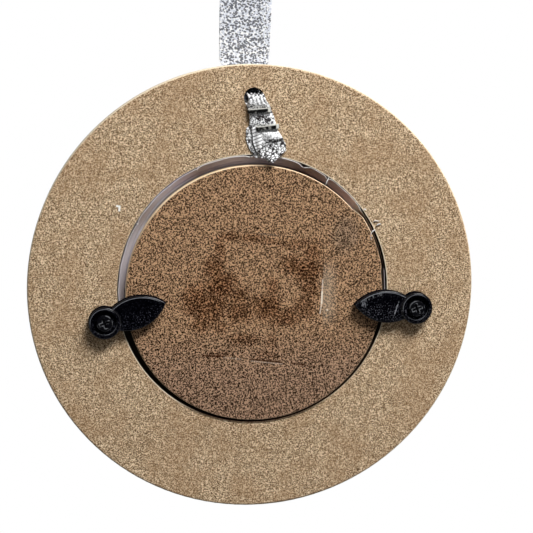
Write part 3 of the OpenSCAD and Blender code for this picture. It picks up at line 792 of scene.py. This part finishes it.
def blackPlastic(side):
    # Pebbled black moulding. The rounded upper edge of its leaf and the rims of its head carry painted
    # highlights in grey, and its square upper edges shine.
    b = button
    paint = Paint(side + "ButtonPlastic")
    place = paint.millimetres()
    x, y, z = paint.split(place)
    along, beside = turned(x, z, b["pivots"][side], b["points"][side])
    fromX, fromZ = x - b["pivots"][side][0], z - b["pivots"][side][1]
    height = 0 - y
    out = distance(x, z, b["pivots"][side])
    onHead = out.rise(b["headRadius"] + 0.06, b["headRadius"] + 0.01)
    # how far each point lies inside the leaf, which is what two large discs have in common
    halfLength = (b["bladeLength"] + b["bladeBack"]) / 2
    large = (halfLength ** 2 + b["bladeHalf"] ** 2) / (2 * b["bladeHalf"])
    off = along - (b["bladeLength"] - halfLength)
    inside = large - (off * off + (abs(beside) + (large - b["bladeHalf"])) ** 2) ** 0.5
    upper = beside * (1 if side == "left" else -1)
    uneven = paint.noise(place, 0.7, 2)
    # thin painted highlights where the rounded edges of the leaf, the head and the dish face the light
    leafLine = abs(inside - b["edgeLine"]).rise(0.11, 0) * upper.rise(0.4, 1.4) * (1 - onHead)
    leafLine = leafLine * (0.35 + 0.9 * uneven)
    headLine = abs(out - (b["headRadius"] - b["edgeLine"])).rise(0.1, 0)
    headLine = headLine * (fromZ - fromX * 0.6).rise(0.6, 2.6)
    dishLine = abs(out - b["dishRadius"] + 0.1).rise(0.1, 0) * (fromX * 0.5 - fromZ).rise(0.3, 2.2)
    paintedEdgeHighlight = leafLine + onHead * (headLine * 0.6 + dishLine * 0.7) * (0.5 + uneven)
    paintedEdgeHighlight = paintedEdgeHighlight * height.rise(0.9, 1.6)
    pebbles = paint.noise(place, 3.4, 2, 0.6)
    light = pebbles.rise(0.56, 0.67) * (0.2 + 0.7 * upper.rise(1.5, -1.5))
    colour = paint.blend(light, b["plastic"], b["grain"][side])
    colour = paint.blend(paintedEdgeHighlight.held() * 0.8, colour, b["paintedEdgeHighlight"])
    if side == "right":  # a long scratch by the head and a scuffed tip
        scratch = lineGap(x, z, (33.2, -2.5), (32.1, -5.9)) + (paint.noise(place, 1.6, 2) - 0.5) * 0.7
        nicks = paint.noise(paint.millimetres((0, 30, 0), (3.0, 1, 0.8)), 1.5, 1)
        tip = spotGap(x, z, (25.1, -3.3), (0.45, 0.7)) + (nicks - 0.5) * 5
        top = abs(inside - 0.7).rise(0.6, 0.2) * upper.rise(0.4, 1.4) * x.rise(30.3, 28.7)
        top = top * nicks.rise(0.52, 0.6)
        wearAndGlint = scratch.rise(0.14, 0.05).high(tip.rise(1.0, 0.3) * 0.6).high(top * 0.5)
        colour = paint.blend(wearAndGlint * height.rise(1.9, 2.2), colour, b["scuff"])
    band = height - (b["bladeTop"] - 0.02) * (1 - onHead) - (b["headTop"] - 0.02) * onHead
    edge = band.rise(0, -0.05) * band.rise(-0.42, -0.34)
    return paint.finish(Base_Color=colour, Roughness=0.5, Specular_IOR_Level=0.0, Coat_Weight=edge * 0.35,
                        Coat_Roughness=0.14, Coat_IOR=1.6,
                        Normal=paint.bump(pebbles * (1 - edge), 0.00005, 0.6))


def blackScrew():
    # Blackened steel, with painted glints on the rim of the head and on the edges of its cross slot, in
    # places.
    paint = Paint("blackScrew")
    place = paint.millimetres()
    x, y, z = paint.split(place)
    # painted glints on each screw head's rim and slot edges
    wearAndGlint = []
    for pivot in button["pivots"].values():
        out = distance(x, z, pivot)
        rim = abs(out - (screw["radius"] - 0.12)).rise(0.14, 0.03)
        along, beside = turned(x, z, pivot, screw["slotTurn"])
        arm, tip = abs(along).low(abs(beside)), abs(along).high(abs(beside))
        slot = abs(arm - screw["slotHalf"]).rise(0.14, 0.05) * tip.rise(1.35, 1.15)
        end = abs(tip - screw["slotEnd"]).rise(0.14, 0.05) * arm.rise(0.4, 0.3)
        wearAndGlint.append((rim * 0.7 + slot.high(end)) * out.rise(2.2, 2.0))
    patchy = paint.noise(place, 1.3, 1).rise(0.42, 0.6)
    colour = paint.blend((highest(wearAndGlint) * patchy).held() * 0.5, screw["steel"], screw["wearAndGlint"])
    return paint.finish(Base_Color=colour, Roughness=0.45, Specular_IOR_Level=0.03)


def plainFinish(name, colour, **sockets):
    paint = Paint(name)
    return paint.finish(Base_Color=colour, **sockets)


# each staple's middle and tilt
staple = {"face": tone(8, 8, 9), "edge": tone(214, 212, 204), "at": [(1.1, 40.65, 4.9), (2.95, 36.9, 7.0)]}


def stapleSteel():  # polished wire: its upper edge and right shoulder shine, and its face mirrors the dark
    paint = Paint("stapleSteel")
    place = paint.millimetres()
    x, y, z = paint.split(place)
    # painted highlights on each staple's upper edge and right shoulder; the last bit at the right end is left
    # dark as painted shade, and the near-black face is a painted reflection of dark surroundings
    shines = []
    for middleX, middleZ, tilt in staple["at"]:
        beside = x - middleX
        up = z - middleZ - beside * math.tan(math.radians(tilt))
        lit = up.rise(0.2, 0.32).high(beside.rise(1.75, 1.9))
        shines.append(lit * beside.rise(2.5, 2.35) * abs(up).rise(0.8, 0.7))
    dull = paint.noise(place, 1.4, 1).rise(0.52, 0.62)
    colour = paint.blend(highest(shines).high(dull * 0.3), staple["face"], staple["edge"])
    return paint.finish(Base_Color=colour, Roughness=0.3, Specular_IOR_Level=0.05)


for side in ("left", "right"):
    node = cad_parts[side + "_turn_button"]
    node.data.materials.clear()
    node.data.materials.append(blackPlastic(side))
for node, material in (("pivot_screws", blackScrew()),
                       ("ribbon_staples", stapleSteel()),
                       ("picture_card", plainFinish("whiteCard", tone(240, 240, 238), Roughness=0.6))):
    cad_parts[node].data.materials.clear()
    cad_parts[node].data.materials.append(material)
print("buttons, screws, staples and card finished")
